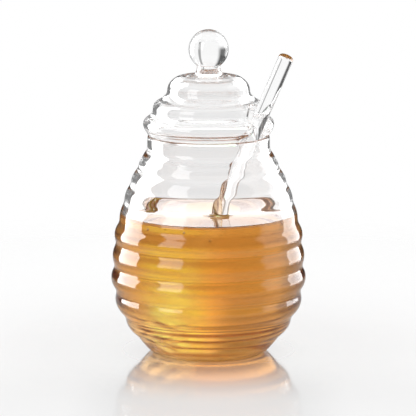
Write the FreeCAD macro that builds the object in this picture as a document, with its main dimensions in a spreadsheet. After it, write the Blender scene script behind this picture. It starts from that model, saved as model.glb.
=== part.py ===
import FreeCAD, Part
import math
import os
import Sketcher

from FreeCAD import Rotation, Vector

# A clear blown-glass honey pot shaped like a beehive. The pot is an egg with raised
# ribs that grow wider apart towards the base. A three-tier glass lid with a ball knob
# sits on the mouth and has an arched notch, through which a glass dipper leans out.
# The pot is about half full of honey, and the dipper's grooved head lies in it.
# Millimetres, +Z up, origin on the pot's axis at the flat base.

DOC = FreeCAD.newDocument("honey_pot")

DRIVING_DIMENSIONS = [
    # pot: an egg made of two half ellipses that meet at the widest height
    ("pot_height", 118.6, "table to the mouth's rim"),
    ("body_radius", 51.0, "greatest radius of the egg, between the ribs"),
    ("body_height_share", 0.371, "height of the widest place, over the pot's height"),
    ("body_drop_share", 1.227, "lower half ellipse, half axis over that height"),
    ("neck_radius", 33.0, "outside of the straight collar"),
    ("neck_length", 7.2, "straight collar below the rim"),
    ("shoulder_flare", 1.7, "the collar flares by this much into the first rib"),
    ("shoulder_drop", 3.1, "from the collar down to that place"),
    ("shoulder_proud", 1.34, "that place lies this far outside the egg"),
    ("pot_wall", 2.3, "wall of the collar and the body"),
    ("base_thickness", 4.0, "glass under the honey"),
    ("floor_radius", 20.0, "flat floor inside"),
    ("foot_radius", 27.5, "flat face that the pot rests on"),
    ("rim_rounding", 0.9, "fire-polished rim"),
    # ribs, counted from the shoulder down
    ("rib_count", 9, "raised ribs on the body"),
    ("rib_growth", 0.1165, "each next rib is this much taller, over the first rib's height"),
    ("last_rib_share", 1.33, "the rib above the heel is shorter again, over the first rib's height"),
    ("heel_height", 8.84, "lowest waist, where the heel begins"),
    ("rib_depth_inside", 0.75, "how far the inside follows the ribs, 1 is fully"),
    ("waist_share", 0.45, "arc of a waist over the arc of a crest"),
    # honey
    ("honey_share", 0.6358, "level of the honey over the pot's height"),
    # lid: three tiers, heights from the seat on the rim
    ("lid_rim_inset", 0.3, "the lid's lower edge lies this far inside the collar's outside"),
    ("lid_wall", 2.2, "glass of the lid"),
    ("lid_crown_height", 32.4, "top of the dome under the knob"),
    ("lip_clearance", 0.4, "between the locating lip and the mouth"),
    ("lip_depth", 2.5, "the locating lip's reach into the mouth"),
    ("lip_wall", 2.0, "thickness of the locating lip"),
    ("knob_radius", 10.7, "ball knob"),
    ("knob_height", 46.2, "centre of the knob above the seat"),
    ("knob_neck_radius", 6.5, "stem under the knob"),
    ("knob_flare_radius", 8.4, "where the stem meets the dome"),
    ("knob_flare_height", 2.0, "height of that flare"),
    # notch in the lid, centred on the dipper
    ("notch_top_radius", 7.5, "rounded top of the notch"),
    ("notch_height", 18.0, "top of the notch above the seat"),
    ("notch_foot_width", 25.0, "width of the notch at the rim"),
    # dipper
    ("dipper_length", 173.5, "end to end"),
    ("rod_radius", 4.0, "the dipper's rod"),
    ("rod_rounding", 1.2, "rounded end of the rod"),
    ("rod_lean", 25.1, "angle from upright"),
    ("rod_direction", -30.0, "side that it leans to, from +X towards +Y"),
    ("rim_overhang", 0.2, "the rod leans this far over the rim's rounding"),
    ("dipper_lift", 3.2, "axis of the tip above the floor inside"),
    ("head_length", 38.0, "grooved head"),
    ("head_tip_radius", 7.0, "flat end of the head"),
    ("head_neck_radius", 5.0, "where the head meets the rod"),
    ("head_bow_radius", 36.0, "curve of the head's barrel"),
    ("head_taper", 6.0, "from the head's neck to the plain rod"),
    ("groove_count", 6, "grooves round the head"),
    ("groove_pitch", 5.2, "groove to groove"),
    ("groove_first", 6.0, "first groove from the tip"),
    ("groove_core", 6.2, "radius left at the bottom of a groove"),
    ("groove_outside", 13.0, "a groove is cut from outside the barrel"),
    ("groove_floor", 1.0, "width at the bottom of a groove"),
    ("groove_mouth", 3.4, "width at the outside of a groove"),
]

# Height of each rib above the egg: hand-blown, so no two are alike.
RIB_HEIGHTS = [1.0, 0.7, 0.75, 0.6, 1.4, 1.2, 1.85, 1.9, 1.2]

# Each tier of the lid: its bulge and the corner above it, as radius over the radius of the
# lid's rim and height above the seat, and the corner's slope in degrees.
LID_TIERS = {
    "tier1": {"bulge": (1.0765, 6.0), "corner": (0.9358, 11.6), "slope": 50.0},
    "tier2": {"bulge": (0.9144, 14.4), "corner": (0.7156, 21.3), "slope": 45.0},
    "tier3": {"bulge": (0.6789, 24.0), "corner": (0.5321, 31.0), "slope": 28.0},
}


def make_sheet():
    """The driving dimensions, one row each: name, number, meaning."""
    sheet = DOC.addObject("Spreadsheet::Sheet", "dims")
    sheet.Label = "driving dimensions"
    rows = list(DRIVING_DIMENSIONS)
    for number, height in enumerate(RIB_HEIGHTS, start=1):
        rows.append((f"rib_height_{number}", height, f"rib {number} above the egg"))
    for tier, places in LID_TIERS.items():
        for place in ("bulge", "corner"):
            share, height = places[place]
            rows.append((f"{tier}_{place}_share", share, f"lid {tier} {place} over the rim's radius"))
            rows.append((f"{tier}_{place}_height", height, f"lid {tier} {place} above the seat"))
        rows.append((f"{tier}_slope", places["slope"], f"lid {tier} slope at the corner"))
    for row, (alias, value, meaning) in enumerate(rows, start=1):
        sheet.set(f"A{row}", alias)
        sheet.set(f"B{row}", str(value))
        sheet.set(f"C{row}", meaning)
        sheet.setAlias(f"B{row}", alias)
    DOC.recompute()
    return sheet


SHEET = make_sheet()


def size(alias):
    """A driving dimension's number."""
    return float(SHEET.get(alias))


def made(kind, name, **expressions):
    """An object whose properties are tied to the sheet."""
    item = DOC.addObject(kind, name)
    for place, expression in expressions.items():
        item.setExpression(place.replace("__", "."), expression)
    return item


def at(radius, height):
    """A point of a half section, in the plane of X and Z."""
    return Vector(radius, 0, height)


def square_to(along):
    """The direction to the left of another, in the half section."""
    return Vector(-along.z, 0, along.x)


def tangent_arc(first, along, last):
    """The arc that leaves one point in a given direction and ends at another."""
    chord = last - first
    across = chord.dot(square_to(along))
    if abs(across) < chord.Length * 1e-6:
        return line(first, last)
    radius = chord.Length ** 2 / (2 * across)
    centre = first + square_to(along) * radius
    outward = ((first + last) * 0.5 - centre).normalize()
    return rounding(first, centre + outward * abs(radius), last)


def blend(first, along, last, arriving, share):
    """Two arcs that join smoothly: share is the first one's size over the second's."""
    chord = last - first
    turn = 2 * share * (along.dot(arriving) - 1)
    towards = 2 * chord.dot(along * share + arriving)
    if abs(turn) < 1e-9:
        reach = chord.Length ** 2 / towards
    else:
        reach = (towards - math.sqrt(towards ** 2 - 4 * turn * chord.Length ** 2)) / (2 * turn)
    leaving = first + along * share * reach
    meeting = last - arriving * reach
    joint = (leaving + meeting * share) * (1 / (1 + share))
    return [tangent_arc(first, along, joint), tangent_arc(joint, (meeting - leaving).normalize(), last)]


def smooth_line(stations, shares):
    """Smooth arcs through stations, each a point and the direction there."""
    edges = []
    for number, share in enumerate(shares):
        first, along = stations[number]
        last, arriving = stations[number + 1]
        edges += blend(first, along, last, arriving, share)
    return edges


def inset(stations, distance):
    """The same stations further in, square to their directions."""
    return [(point - square_to(along) * distance, along) for point, along in stations]


def line(first, second):
    return Part.LineSegment(first, second).toShape()


def rounding(first, middle, last):
    return Part.Arc(first, middle, last).toShape()


def revolved(name, edges):
    """A solid turned from a closed half section."""
    section = DOC.addObject("Part::Feature", f"{name}_section")
    section.Shape = Part.Face(Part.Wire(Part.__sortEdges__(edges)))
    turned = DOC.addObject("Part::Revolution", name)
    turned.Source = section
    turned.Axis = Vector(0, 0, 1)
    turned.Base = Vector(0, 0, 0)
    turned.Angle = 360
    turned.Solid = True
    return turned


# ---- pot ----

def shoulder_height():
    return size("pot_height") - size("neck_length") - size("shoulder_drop")


def shoulder_radius():
    return size("neck_radius") + size("shoulder_flare")


def body_height():
    """Height of the widest place of the egg."""
    return size("body_height_share") * size("pot_height")


def egg_half_axis(height):
    """Half axis of the egg's lower part, or of its upper part, which reaches up to the shoulder."""
    if height < body_height():
        return size("body_drop_share") * body_height()
    narrowed = (shoulder_radius() - size("shoulder_proud")) / size("body_radius")
    return (shoulder_height() - body_height()) / math.sqrt(1 - narrowed * narrowed)


def egg_radius(height, inset_by):
    """Radius of the egg between the ribs, or of its inside for an inset of one wall."""
    share = (height - body_height()) / (egg_half_axis(height) - inset_by)
    return (size("body_radius") - inset_by) * math.sqrt(1 - share * share)


def rib_waists():
    """Heights of the waists between the ribs, from the shoulder down to the heel."""
    shares = [1 + number * size("rib_growth") for number in range(int(size("rib_count")) - 1)]
    shares.append(size("last_rib_share"))
    first_rib = (shoulder_height() - size("heel_height")) / sum(shares)
    waists = [shoulder_height()]
    for share in shares:
        waists.append(waists[-1] - share * first_rib)
    return waists


def egg_direction(height, inset_by):
    """Downward direction along the egg."""
    step = 0.01
    lower = at(egg_radius(height - step, inset_by), height - step)
    upper = at(egg_radius(height + step, inset_by), height + step)
    return (lower - upper).normalize()


def body_stations(inset_by, depth):
    """Points and directions down the body: each waist, and each rib's crest between them."""
    waists = rib_waists()
    shoulder = at(shoulder_radius() - inset_by, waists[0])
    stations = [(shoulder, egg_direction(waists[0], inset_by))]
    for number in range(len(waists) - 1):
        crest = (waists[number] + waists[number + 1]) / 2
        proud = size(f"rib_height_{number + 1}") * depth
        place = at(egg_radius(crest, inset_by) + proud, crest)
        stations.append((place, egg_direction(crest, inset_by)))
        waist = waists[number + 1]
        stations.append((at(egg_radius(waist, inset_by), waist), egg_direction(waist, inset_by)))
    return stations


def body_line(collar_radius, inset_by, depth, end_radius, end_height):
    """From the collar down over the ribs to a flat end."""
    collar = at(collar_radius, size("pot_height") - size("neck_length"))
    ribs = body_stations(inset_by, depth)
    down, inward = Vector(0, 0, -1), Vector(-1, 0, 0)
    stations = [(collar, down)] + ribs + [(at(end_radius, end_height), inward)]
    tight = size("waist_share")
    shares = [1.0] + [tight, 1 / tight] * ((len(ribs) - 1) // 2) + [1.0]
    return smooth_line(stations, shares)


def half_way_round(corner, soft, outward):
    """Middle of a quarter-round at the rim, towards or away from the axis."""
    slack = soft * (1 - math.sqrt(0.5))
    return at(corner.x - slack * outward, corner.z - slack)


def pot_outside():
    """The whole glass body as if it were solid."""
    top = size("pot_height")
    neck = size("neck_radius")
    soft = size("rim_rounding")
    foot = size("foot_radius")
    edges = body_line(neck, 0, 1, foot, 0)
    edges += [
        line(at(neck, top - size("neck_length")), at(neck, top - soft)),
        rounding(at(neck, top - soft), half_way_round(at(neck, top), soft, 1), at(neck - soft, top)),
        line(at(neck - soft, top), at(0, top)),
        line(at(0, top), at(0, 0)),
        line(at(0, 0), at(foot, 0)),
    ]
    return revolved("pot_outside", edges)


def mouth_radius():
    return size("neck_radius") - size("pot_wall")


def pot_cavity():
    """The space inside the glass, from the floor to the rim."""
    top = size("pot_height")
    mouth = mouth_radius()
    soft = size("rim_rounding")
    floor = size("base_thickness")
    flat = size("floor_radius")
    edges = body_line(mouth, size("pot_wall"), size("rib_depth_inside"), flat, floor)
    edges += [
        line(at(mouth, top - size("neck_length")), at(mouth, top - soft)),
        rounding(at(mouth, top - soft), half_way_round(at(mouth, top), soft, -1), at(mouth + soft, top)),
        line(at(mouth + soft, top), at(0, top)),
        line(at(0, top), at(0, floor)),
        line(at(0, floor), at(flat, floor)),
    ]
    return revolved("pot_cavity", edges)


def cut(name, base, tool):
    result = DOC.addObject("Part::Cut", name)
    result.Base = base
    result.Tool = tool
    return result


def make_honey(cavity, dipper):
    """Fills the cavity up to the level, round the dipper."""
    below = made("Part::Cylinder", "below_level", Radius="2 * dims.body_radius",
                 Height="dims.honey_share * dims.pot_height")
    fill = DOC.addObject("Part::Common", "honey_fill")
    fill.Base = cavity
    fill.Tool = below
    return cut("honey", fill, dipper)


# ---- lid ----

def lid_rim_radius():
    return size("neck_radius") - size("lid_rim_inset")


def lid_place(tier, place):
    """A tier's bulge or corner in the half section."""
    share = size(f"{tier}_{place}_share")
    return at(share * lid_rim_radius(), size("pot_height") + size(f"{tier}_{place}_height"))


def lid_stations():
    """The three tiers from the first bulge up to the dome: points and directions."""
    seat = size("pot_height")
    stations = []
    for tier in LID_TIERS:
        slope = math.radians(size(f"{tier}_slope"))
        bulge = lid_place(tier, "bulge")
        corner = lid_place(tier, "corner")
        stations.append((bulge, Vector(0, 0, 1)))
        stations.append((corner, Vector(-math.cos(slope), 0, math.sin(slope))))
    stations.append((at(0, seat + size("lid_crown_height")), Vector(-1, 0, 0)))
    return stations


def lid_shell():
    """The domed wall with its flat seat and the locating lip that hangs into the mouth."""
    seat = size("pot_height")
    lip_outer = mouth_radius() - size("lip_clearance")
    lip_inner = lip_outer - size("lip_wall")
    lip_round = size("lip_wall") / 2
    lip_top = seat - size("lip_depth") + lip_round
    lip_end = at(lip_inner + lip_round, lip_top - lip_round)
    rim = at(lid_rim_radius(), seat)
    outer = lid_stations()
    inner = inset(outer, -size("lid_wall"))
    shares = [1.0] * (len(outer) - 1)
    inside_foot = at(lip_inner, seat)
    edges = smooth_line(outer, shares) + smooth_line(inner, shares)
    edges += blend(rim, Vector(0.45, 0, 0.9).normalize(), *outer[0], 1.0)
    edges += blend(inside_foot, Vector(0, 0, 1), *inner[0], 1.0)
    edges += [
        line(outer[-1][0], inner[-1][0]),
        line(inside_foot, at(lip_inner, lip_top)),
        rounding(at(lip_inner, lip_top), lip_end, at(lip_outer, lip_top)),
        line(at(lip_outer, lip_top), at(lip_outer, seat)),
        line(at(lip_outer, seat), rim),
    ]
    return revolved("lid_shell", edges)


def make_knob():
    """Ball, stem and flare on top of the dome."""
    crown = "dims.pot_height + dims.lid_crown_height"
    centre = "dims.pot_height + dims.knob_height"
    sunk = "dims.lid_wall / 2"
    ball = made("Part::Sphere", "knob_ball", Radius="dims.knob_radius", Placement__Base__z=centre)
    stem = made("Part::Cylinder", "knob_stem", Radius="dims.knob_neck_radius",
                Height=f"dims.knob_height - dims.lid_crown_height - dims.knob_radius / 2 + {sunk}",
                Placement__Base__z=f"{crown} - {sunk}")
    flare = made("Part::Cone", "knob_flare", Radius1="dims.knob_flare_radius",
                 Radius2="dims.knob_neck_radius", Height=f"dims.knob_flare_height + {sunk}",
                 Placement__Base__z=f"{crown} - {sunk}")
    return [ball, stem, flare]


def make_notch():
    """An arch through one side of the lid: a round top on legs that spread down to the rim."""
    top = "dims.pot_height + dims.notch_height - dims.notch_top_radius"
    bottom = "dims.pot_height - 2 * dims.lip_depth"
    spread = ("(dims.notch_foot_width / 2 - dims.notch_top_radius)"
              " / (dims.notch_height - dims.notch_top_radius) * 2 * dims.lip_depth")
    half_foot = f"dims.notch_foot_width / 2 + {spread}"
    reach = "2 * dims.neck_radius"
    arch = made("Part::Cylinder", "notch_top", Radius="dims.notch_top_radius", Height=reach)
    arch.Placement.Rotation = Rotation(Vector(0, 1, 0), 90)
    arch.setExpression("Placement.Base.z", top)
    legs = made("Part::Wedge", "notch_legs",
                Xmin="0", Xmax=reach, X2min="0", X2max=reach,
                Ymin="0", Ymax=f"{top} - ({bottom})",
                Zmin=f"-({half_foot})", Zmax=half_foot,
                Z2min="-dims.notch_top_radius", Z2max="dims.notch_top_radius")
    legs.Placement.Rotation = Rotation(Vector(1, 0, 0), 90)
    legs.setExpression("Placement.Base.z", bottom)
    notch = DOC.addObject("Part::MultiFuse", "notch")
    notch.Shapes = [arch, legs]
    notch.Placement.Rotation.Axis = Vector(0, 0, 1)
    notch.setExpression("Placement.Rotation.Angle", "dims.rod_direction")
    return notch


def make_lid():
    """One piece of glass: the notched dome, and the knob drawn out of its top."""
    dome = cut("lid_dome", lid_shell(), make_notch())
    lid = DOC.addObject("Part::MultiFuse", "lid")
    lid.Shapes = [dome] + make_knob()
    return lid


# ---- dipper ----

ORIGIN_POINT = (-1, 1)


def half_section(body, name, geometry):
    """A closed sketch on the body's own XZ plane: across is the radius, up is the length."""
    planes = [plane for plane in body.Origin.OriginFeatures if plane.Role == "XZ_Plane"]
    sketch = body.newObject("Sketcher::SketchObject", name)
    sketch.AttachmentSupport = [(planes[0], "")]
    sketch.MapMode = "FlatFace"
    sketch.addGeometry(geometry, False)
    for edge in range(len(geometry)):
        following = (edge + 1) % len(geometry)
        sketch.addConstraint(Sketcher.Constraint("Coincident", edge, 2, following, 1))
    return sketch


def tie_corners(sketch, corners):
    """Ties the start of each edge to a radius and a length from the sheet."""
    for edge, expressions in enumerate(corners):
        start = sketch.getPoint(edge, 1)
        places = zip(("DistanceX", "DistanceY"), expressions, (start.x, start.y))
        for kind, expression, value in places:
            constraint = Sketcher.Constraint(kind, *ORIGIN_POINT, edge, 1, value)
            index = sketch.addConstraint(constraint)
            sketch.setExpression(f"Constraints[{index}]", expression)


def turned(body, kind, name, sketch):
    """A solid or a cut turned from a half section about the body's upright axis."""
    feature = body.newObject(kind, name)
    feature.Profile = sketch
    feature.ReferenceAxis = (sketch, ["V_Axis"])
    feature.Angle = 360
    DOC.recompute()
    return feature


def sketch_line(first, last):
    return Part.LineSegment(Vector(*first, 0), Vector(*last, 0))


def add_rod(body):
    """The head's barrel, its short taper and the plain rod in one half section."""
    length = size("dipper_length")
    head = size("head_length")
    tip = size("head_tip_radius")
    neck = size("head_neck_radius")
    rod = size("rod_radius")
    bow = size("head_bow_radius")
    chord = Vector(neck - tip, head, 0)
    bulge = bow - math.sqrt(bow * bow - chord.Length ** 2 / 4)
    outward = Vector(head, tip - neck, 0).normalize()
    middle = Vector(tip, 0, 0) + chord * 0.5 + outward * bulge
    taper_end = head + size("head_taper")
    sketch = half_section(body, "rod_section", [
        Part.Arc(Vector(tip, 0, 0), middle, Vector(neck, head, 0)),
        sketch_line((neck, head), (rod, taper_end)),
        sketch_line((rod, taper_end), (rod, length)),
        sketch_line((rod, length), (0, length)),
        sketch_line((0, length), (0, 0)),
        sketch_line((0, 0), (tip, 0)),
    ])
    tie_corners(sketch, [
        ("dims.head_tip_radius", "0"),
        ("dims.head_neck_radius", "dims.head_length"),
        ("dims.rod_radius", "dims.head_length + dims.head_taper"),
        ("dims.rod_radius", "dims.dipper_length"),
        ("0", "dims.dipper_length"),
        ("0", "0"),
    ])
    radius = sketch.addConstraint(Sketcher.Constraint("Radius", 0, bow))
    sketch.setExpression(f"Constraints[{radius}]", "dims.head_bow_radius")
    turned(body, "PartDesign::Revolution", "rod", sketch)


def cut_grooves(body):
    """Rings cut into the barrel, evenly along it."""
    first = size("groove_first")
    core = size("groove_core")
    outer = size("groove_outside")
    floor = size("groove_floor") / 2
    mouth = size("groove_mouth") / 2
    sketch = half_section(body, "groove_section", [
        sketch_line((core, first - floor), (outer, first - mouth)),
        sketch_line((outer, first - mouth), (outer, first + mouth)),
        sketch_line((outer, first + mouth), (core, first + floor)),
        sketch_line((core, first + floor), (core, first - floor)),
    ])
    tie_corners(sketch, [
        ("dims.groove_core", "dims.groove_first - dims.groove_floor / 2"),
        ("dims.groove_outside", "dims.groove_first - dims.groove_mouth / 2"),
        ("dims.groove_outside", "dims.groove_first + dims.groove_mouth / 2"),
        ("dims.groove_core", "dims.groove_first + dims.groove_floor / 2"),
    ])
    groove = turned(body, "PartDesign::Groove", "groove", sketch)
    axes = [axis for axis in body.Origin.OriginFeatures if axis.Role == "Z_Axis"]
    pattern = body.newObject("PartDesign::LinearPattern", "grooves")
    pattern.Originals = [groove]
    pattern.Direction = (axes[0], [""])
    pattern.setExpression("Length", "(dims.groove_count - 1) * dims.groove_pitch")
    pattern.setExpression("Occurrences", "dims.groove_count")
    body.Tip = pattern
    DOC.recompute()


def round_rod_end(body):
    """Melts the rod's free end round."""
    length = size("dipper_length")
    names = []
    for number, edge in enumerate(body.Shape.Edges, start=1):
        if min(edge.BoundBox.ZMin, length) > length - 0.001:
            names.append(f"Edge{number}")
    grooved = body.Tip
    fillet = body.newObject("PartDesign::Fillet", "rod_end")
    fillet.Base = (grooved, names)
    fillet.setExpression("Radius", "dims.rod_rounding")
    body.Tip = fillet
    DOC.recompute()


def lean_placement():
    """Leans the upright dipper towards the notch, its tip on the floor inside."""
    lean = math.radians(size("rod_lean"))
    tip_height = size("base_thickness") + size("dipper_lift")
    half_width = size("rod_radius") / math.cos(lean)
    radius_at_rim = mouth_radius() - half_width + size("rim_overhang")
    tip_radius = radius_at_rim - (size("pot_height") - tip_height) * math.tan(lean)
    side = Rotation(Vector(0, 0, 1), size("rod_direction"))
    tilt = Rotation(Vector(0, 1, 0), size("rod_lean"))
    tip = side.multVec(Vector(tip_radius, 0, tip_height))
    return FreeCAD.Placement(tip, side.multiply(tilt))


def make_dipper():
    """A glass rod with a barrel-shaped head, grooved all round."""
    body = DOC.addObject("PartDesign::Body", "dipper")
    add_rod(body)
    cut_grooves(body)
    round_rod_end(body)
    body.Placement = lean_placement()
    return body


# ---- all pieces ----

def check(item):
    """Stops if an object failed or a piece has no good solid."""
    if "Invalid" in item.State or "Error" in item.State:
        raise RuntimeError(f"{item.Name} did not build")


def write(node, item):
    """Writes one piece, which has to be one closed solid."""
    shape = item.Shape
    if shape.isNull() or not shape.isValid() or len(shape.Solids) != 1:
        raise RuntimeError(f"{node} is not one good solid")
    item.Label = node
    shape.exportStep(f"parts/{node}.step")
    print(node, "volume", round(shape.Volume), "box", shape.BoundBox)


def main():
    outside = pot_outside()
    cavity = pot_cavity()
    dipper = make_dipper()
    pieces = {
        "pot": cut("pot", outside, cavity),
        "honey": make_honey(cavity, dipper),
        "lid": make_lid(),
        "dipper": dipper,
    }
    DOC.recompute()
    for item in DOC.Objects:
        check(item)
    os.makedirs("parts", exist_ok=True)
    for node, item in pieces.items():
        write(node, item)


main()
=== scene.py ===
import bisect
import math
import random

import bmesh
import bpy
from mathutils import Matrix, Vector


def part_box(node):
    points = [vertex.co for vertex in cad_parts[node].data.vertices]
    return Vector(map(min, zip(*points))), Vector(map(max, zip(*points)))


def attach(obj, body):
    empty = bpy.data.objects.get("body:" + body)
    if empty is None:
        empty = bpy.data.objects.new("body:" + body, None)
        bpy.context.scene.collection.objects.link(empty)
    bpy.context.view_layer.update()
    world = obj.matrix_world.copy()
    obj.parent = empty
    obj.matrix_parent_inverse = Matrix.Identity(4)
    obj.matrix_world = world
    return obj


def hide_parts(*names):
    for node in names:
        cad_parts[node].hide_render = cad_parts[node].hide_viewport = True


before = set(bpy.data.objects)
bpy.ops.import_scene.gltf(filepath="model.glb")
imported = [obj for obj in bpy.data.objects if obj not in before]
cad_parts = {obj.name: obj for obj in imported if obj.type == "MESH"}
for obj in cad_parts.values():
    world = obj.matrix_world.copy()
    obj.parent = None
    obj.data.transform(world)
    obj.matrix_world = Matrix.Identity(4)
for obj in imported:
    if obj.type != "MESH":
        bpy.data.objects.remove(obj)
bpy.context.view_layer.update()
MM = 0.001
SMALL = 1e-6                # differences below this are rounding
TINY = 1e-9
WELD = 0.001                # points closer than this become one
ON_AXIS = 1e-4              # radii below this lie on the axis
FAR = 99.0                  # too far off to matter

# ---- sizes, in millimetres, as the construction has them ----

POT_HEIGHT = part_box("pot")[1].z / MM
BODY_RADIUS = 51.0
BODY_HEIGHT = 0.371 * POT_HEIGHT  # of its widest place
BODY_DROP = 1.227 * BODY_HEIGHT  # the egg's half axis below that
NECK_RADIUS = 33.0
NECK_LENGTH = 7.2
SHOULDER_RADIUS = 34.7
SHOULDER_DROP = 3.1
SHOULDER_HEIGHT = POT_HEIGHT - NECK_LENGTH - SHOULDER_DROP
SHOULDER_PROUD = 1.34
HEEL_HEIGHT = 8.84
WALL = 2.3
BASE = 4.0
FLOOR_RADIUS = 20.0
FOOT_RADIUS = 27.5
RIM_ROUNDING = 0.9
RIB_GROWTH = 0.1165
LAST_RIB_SHARE = 1.33
RIB_HEIGHTS = [1.0, 0.7, 0.75, 0.6, 1.4, 1.2, 1.85, 1.9, 1.2]
RIB_DEPTH_INSIDE = 0.75
WAIST_SHARE = 0.45          # size of a waist's arc over that of the crest next to it
UNDERSIDE_RISE = 0.9        # the foot's underside is higher in its middle
OUT_OF_ROUND = 0.0016

HONEY_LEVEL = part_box("honey")[1].z / MM
HONEY_IN_WALL = 0.45        # the honey's skin reaches this far into the glass

LID_RIM_RADIUS = 32.7
LID_WALL = 2.2
LID_TIERS = [               # bulge and corner: radius + height above the seat * 1j; slope at the corner
    (35.2 + 6.0j, 30.6 + 11.6j, 50.0),
    (29.9 + 14.4j, 23.4 + 21.3j, 45.0),
    (22.2 + 24.0j, 17.4 + 31.0j, 28.0),
]
LID_CROWN = 32.4
LIP_CLEARANCE = 0.4
LIP_OUTER = NECK_RADIUS - WALL - LIP_CLEARANCE
LIP_WALL = 2.0
LIP_DEPTH = 2.5
LIP_CHAMFER = 0.15
LID_RIM_ROUNDING = 0.35
LID_RIM_FLARE = 0.45 + 0.9j  # the way its outside leaves the rim
KNOB_RADIUS = 10.7
KNOB_HEIGHT = 46.2
KNOB_JOINT = 52.0           # the stem meets the ball this many degrees below its middle
STEM_FOOT = 9.6 - 0.1j      # radius + height over the crown * 1j
STEM_WAIST = 6.3 + 3.6j
STEM_START = -0.98 + 0.2j   # the way the dome runs into the stem
NOTCH_TOP_RADIUS = 7.5
NOTCH_HEIGHT = 18.0
NOTCH_FOOT = 12.5
NOTCH_FLARE = 1.5           # power by which it widens towards its foot
EDGE_SOFT = 1.3             # fire-polished edge: the glass thins to nothing over this length
EDGE_REACH = 20.0           # places farther to the side are not near the notch
EDGE_ABOVE = EDGE_SOFT + 3  # nor are rows farther over its top
BEAD = 0.2                  # share that the glass is thicker just behind its edge
BEAD_PLACE = 1.5
BEAD_WIDTH = 1.2

DIPPER_LENGTH = 173.5
ROD_RADIUS = 4.0
ROD_ROUNDING = 1.3
LEAN = math.radians(25.1)
SIDE = math.radians(-30.0)
RIM_OVERHANG = 0.2
DIPPER_LIFT = 3.2
HEAD_LENGTH = 38.0
HEAD_TIP = 7.0
HEAD_NECK = 5.0
HEAD_BOW = 36.0
HEAD_TAPER = 6.0
GROOVES = 6
GROOVE_FIRST = 6.0
GROOVE_PITCH = 5.2
GROOVE_CORE = 6.2
GROOVE_FLAT = 0.5           # half the width of a groove's bottom
GROOVE_SLOPE = 5.67


# ---- outlines: half sections as complex numbers, radius + height * 1j ----

def tangent_arc(first, along, last, count):
    """Points of the arc that leaves a point in a given direction and ends at another."""
    chord = last - first
    turn = math.atan2((chord / along).imag, (chord / along).real)
    if abs(turn) < SMALL:
        return [first + chord * k / count for k in range(1, count + 1)]
    points = []
    for k in range(1, count + 1):
        share = k / count
        swing = complex(math.cos(turn * (share - 1)), math.sin(turn * (share - 1)))
        points.append(first + chord * math.sin(turn * share) / math.sin(turn) * swing)
    return points


def dot(first, second):
    return (first * second.conjugate()).real


def blend(first, along, last, arriving, share, count):
    """Two arcs that join smoothly: share is the first one's size over the second's."""
    chord = last - first
    turn = 2 * share * (dot(along, arriving) - 1)
    towards = 2 * dot(chord, along * share + arriving)
    if abs(turn) < TINY:
        reach = abs(chord) ** 2 / towards
    else:
        reach = (towards - math.sqrt(towards ** 2 - 4 * turn * abs(chord) ** 2)) / (2 * turn)
    leaving = first + along * share * reach
    meeting = last - arriving * reach
    joint = (leaving + meeting * share) / (1 + share)
    across = (meeting - leaving) / abs(meeting - leaving)
    return tangent_arc(first, along, joint, count) + tangent_arc(joint, across, last, count)


def smooth_line(stations, shares, count=12):
    """Points along smooth arcs through stations, each a point and the direction there."""
    points = [stations[0][0]]
    for number, share in enumerate(shares):
        points += blend(*stations[number], *stations[number + 1], share, count)
    return points


def inset(stations, distance):
    """The same stations further to the right of their directions."""
    return [(point - 1j * along * distance, along) for point, along in stations]


def path_lengths(points):
    lengths = [0.0]
    for first, second in zip(points, points[1:]):
        lengths.append(lengths[-1] + abs(second - first))
    return lengths


def along_path(points, places):
    """Points at given lengths along a line of points."""
    lengths = path_lengths(points)
    found, at = [], 0
    for place in places:
        while at < len(points) - 2 and lengths[at + 1] < place:
            at += 1
        span = max(lengths[at + 1] - lengths[at], TINY)
        share = min(max((place - lengths[at]) / span, 0.0), 1.0)
        found.append(points[at] + (points[at + 1] - points[at]) * share)
    return found


def divided(points, count):
    """The same line in a number of even steps."""
    total = path_lengths(points)[-1]
    return along_path(points, [total * k / count for k in range(count + 1)])


def evenly(points, step):
    """The same line with points an even step apart."""
    return divided(points, max(2, round(path_lengths(points)[-1] / step)))


def eased(points, rounds):
    """Melts corners and joints of a line of even points; its ends stay."""
    for _ in range(rounds):
        middle = [(a + 2 * b + c) / 4 for a, b, c in zip(points, points[1:], points[2:])]
        points = [points[0]] + middle + [points[-1]]
    return points


# ---- meshes ----

def finish_mesh(name, points, faces, merge=0.0):
    """An object from points in millimetres, smooth shaded, its normals outwards."""
    mesh = bpy.data.meshes.new(name)
    mesh.from_pydata([point * MM for point in points], [], faces)
    work = bmesh.new()
    work.from_mesh(mesh)
    if merge:
        bmesh.ops.remove_doubles(work, verts=work.verts, dist=merge * MM)
        bmesh.ops.dissolve_degenerate(work, edges=work.edges, dist=TINY)
    bmesh.ops.recalc_face_normals(work, faces=work.faces)
    work.to_mesh(mesh)
    work.free()
    mesh.shade_smooth()
    item = bpy.data.objects.new(name, mesh)
    bpy.context.scene.collection.objects.link(item)
    return item


def skin_faces(rings, start=0, around=True):
    """Faces between rings that follow each other; a ring of one point is a pole."""
    faces = []
    base = start
    for ring, following in zip(rings, rings[1:]):
        upper = base + len(ring)
        count = max(len(ring), len(following))
        for k in range(count if around else count - 1):
            n = (k + 1) % count
            if len(ring) == 1:
                faces.append((base, upper + n, upper + k))
            elif len(following) == 1:
                faces.append((base + k, base + n, upper))
            else:
                faces.append((base + k, base + n, upper + n, upper + k))
        base = upper
    return faces


def full_turn(count, start=0.0):
    """Even angles all the way round."""
    return [2 * math.pi * k / count + start for k in range(count)]


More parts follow.
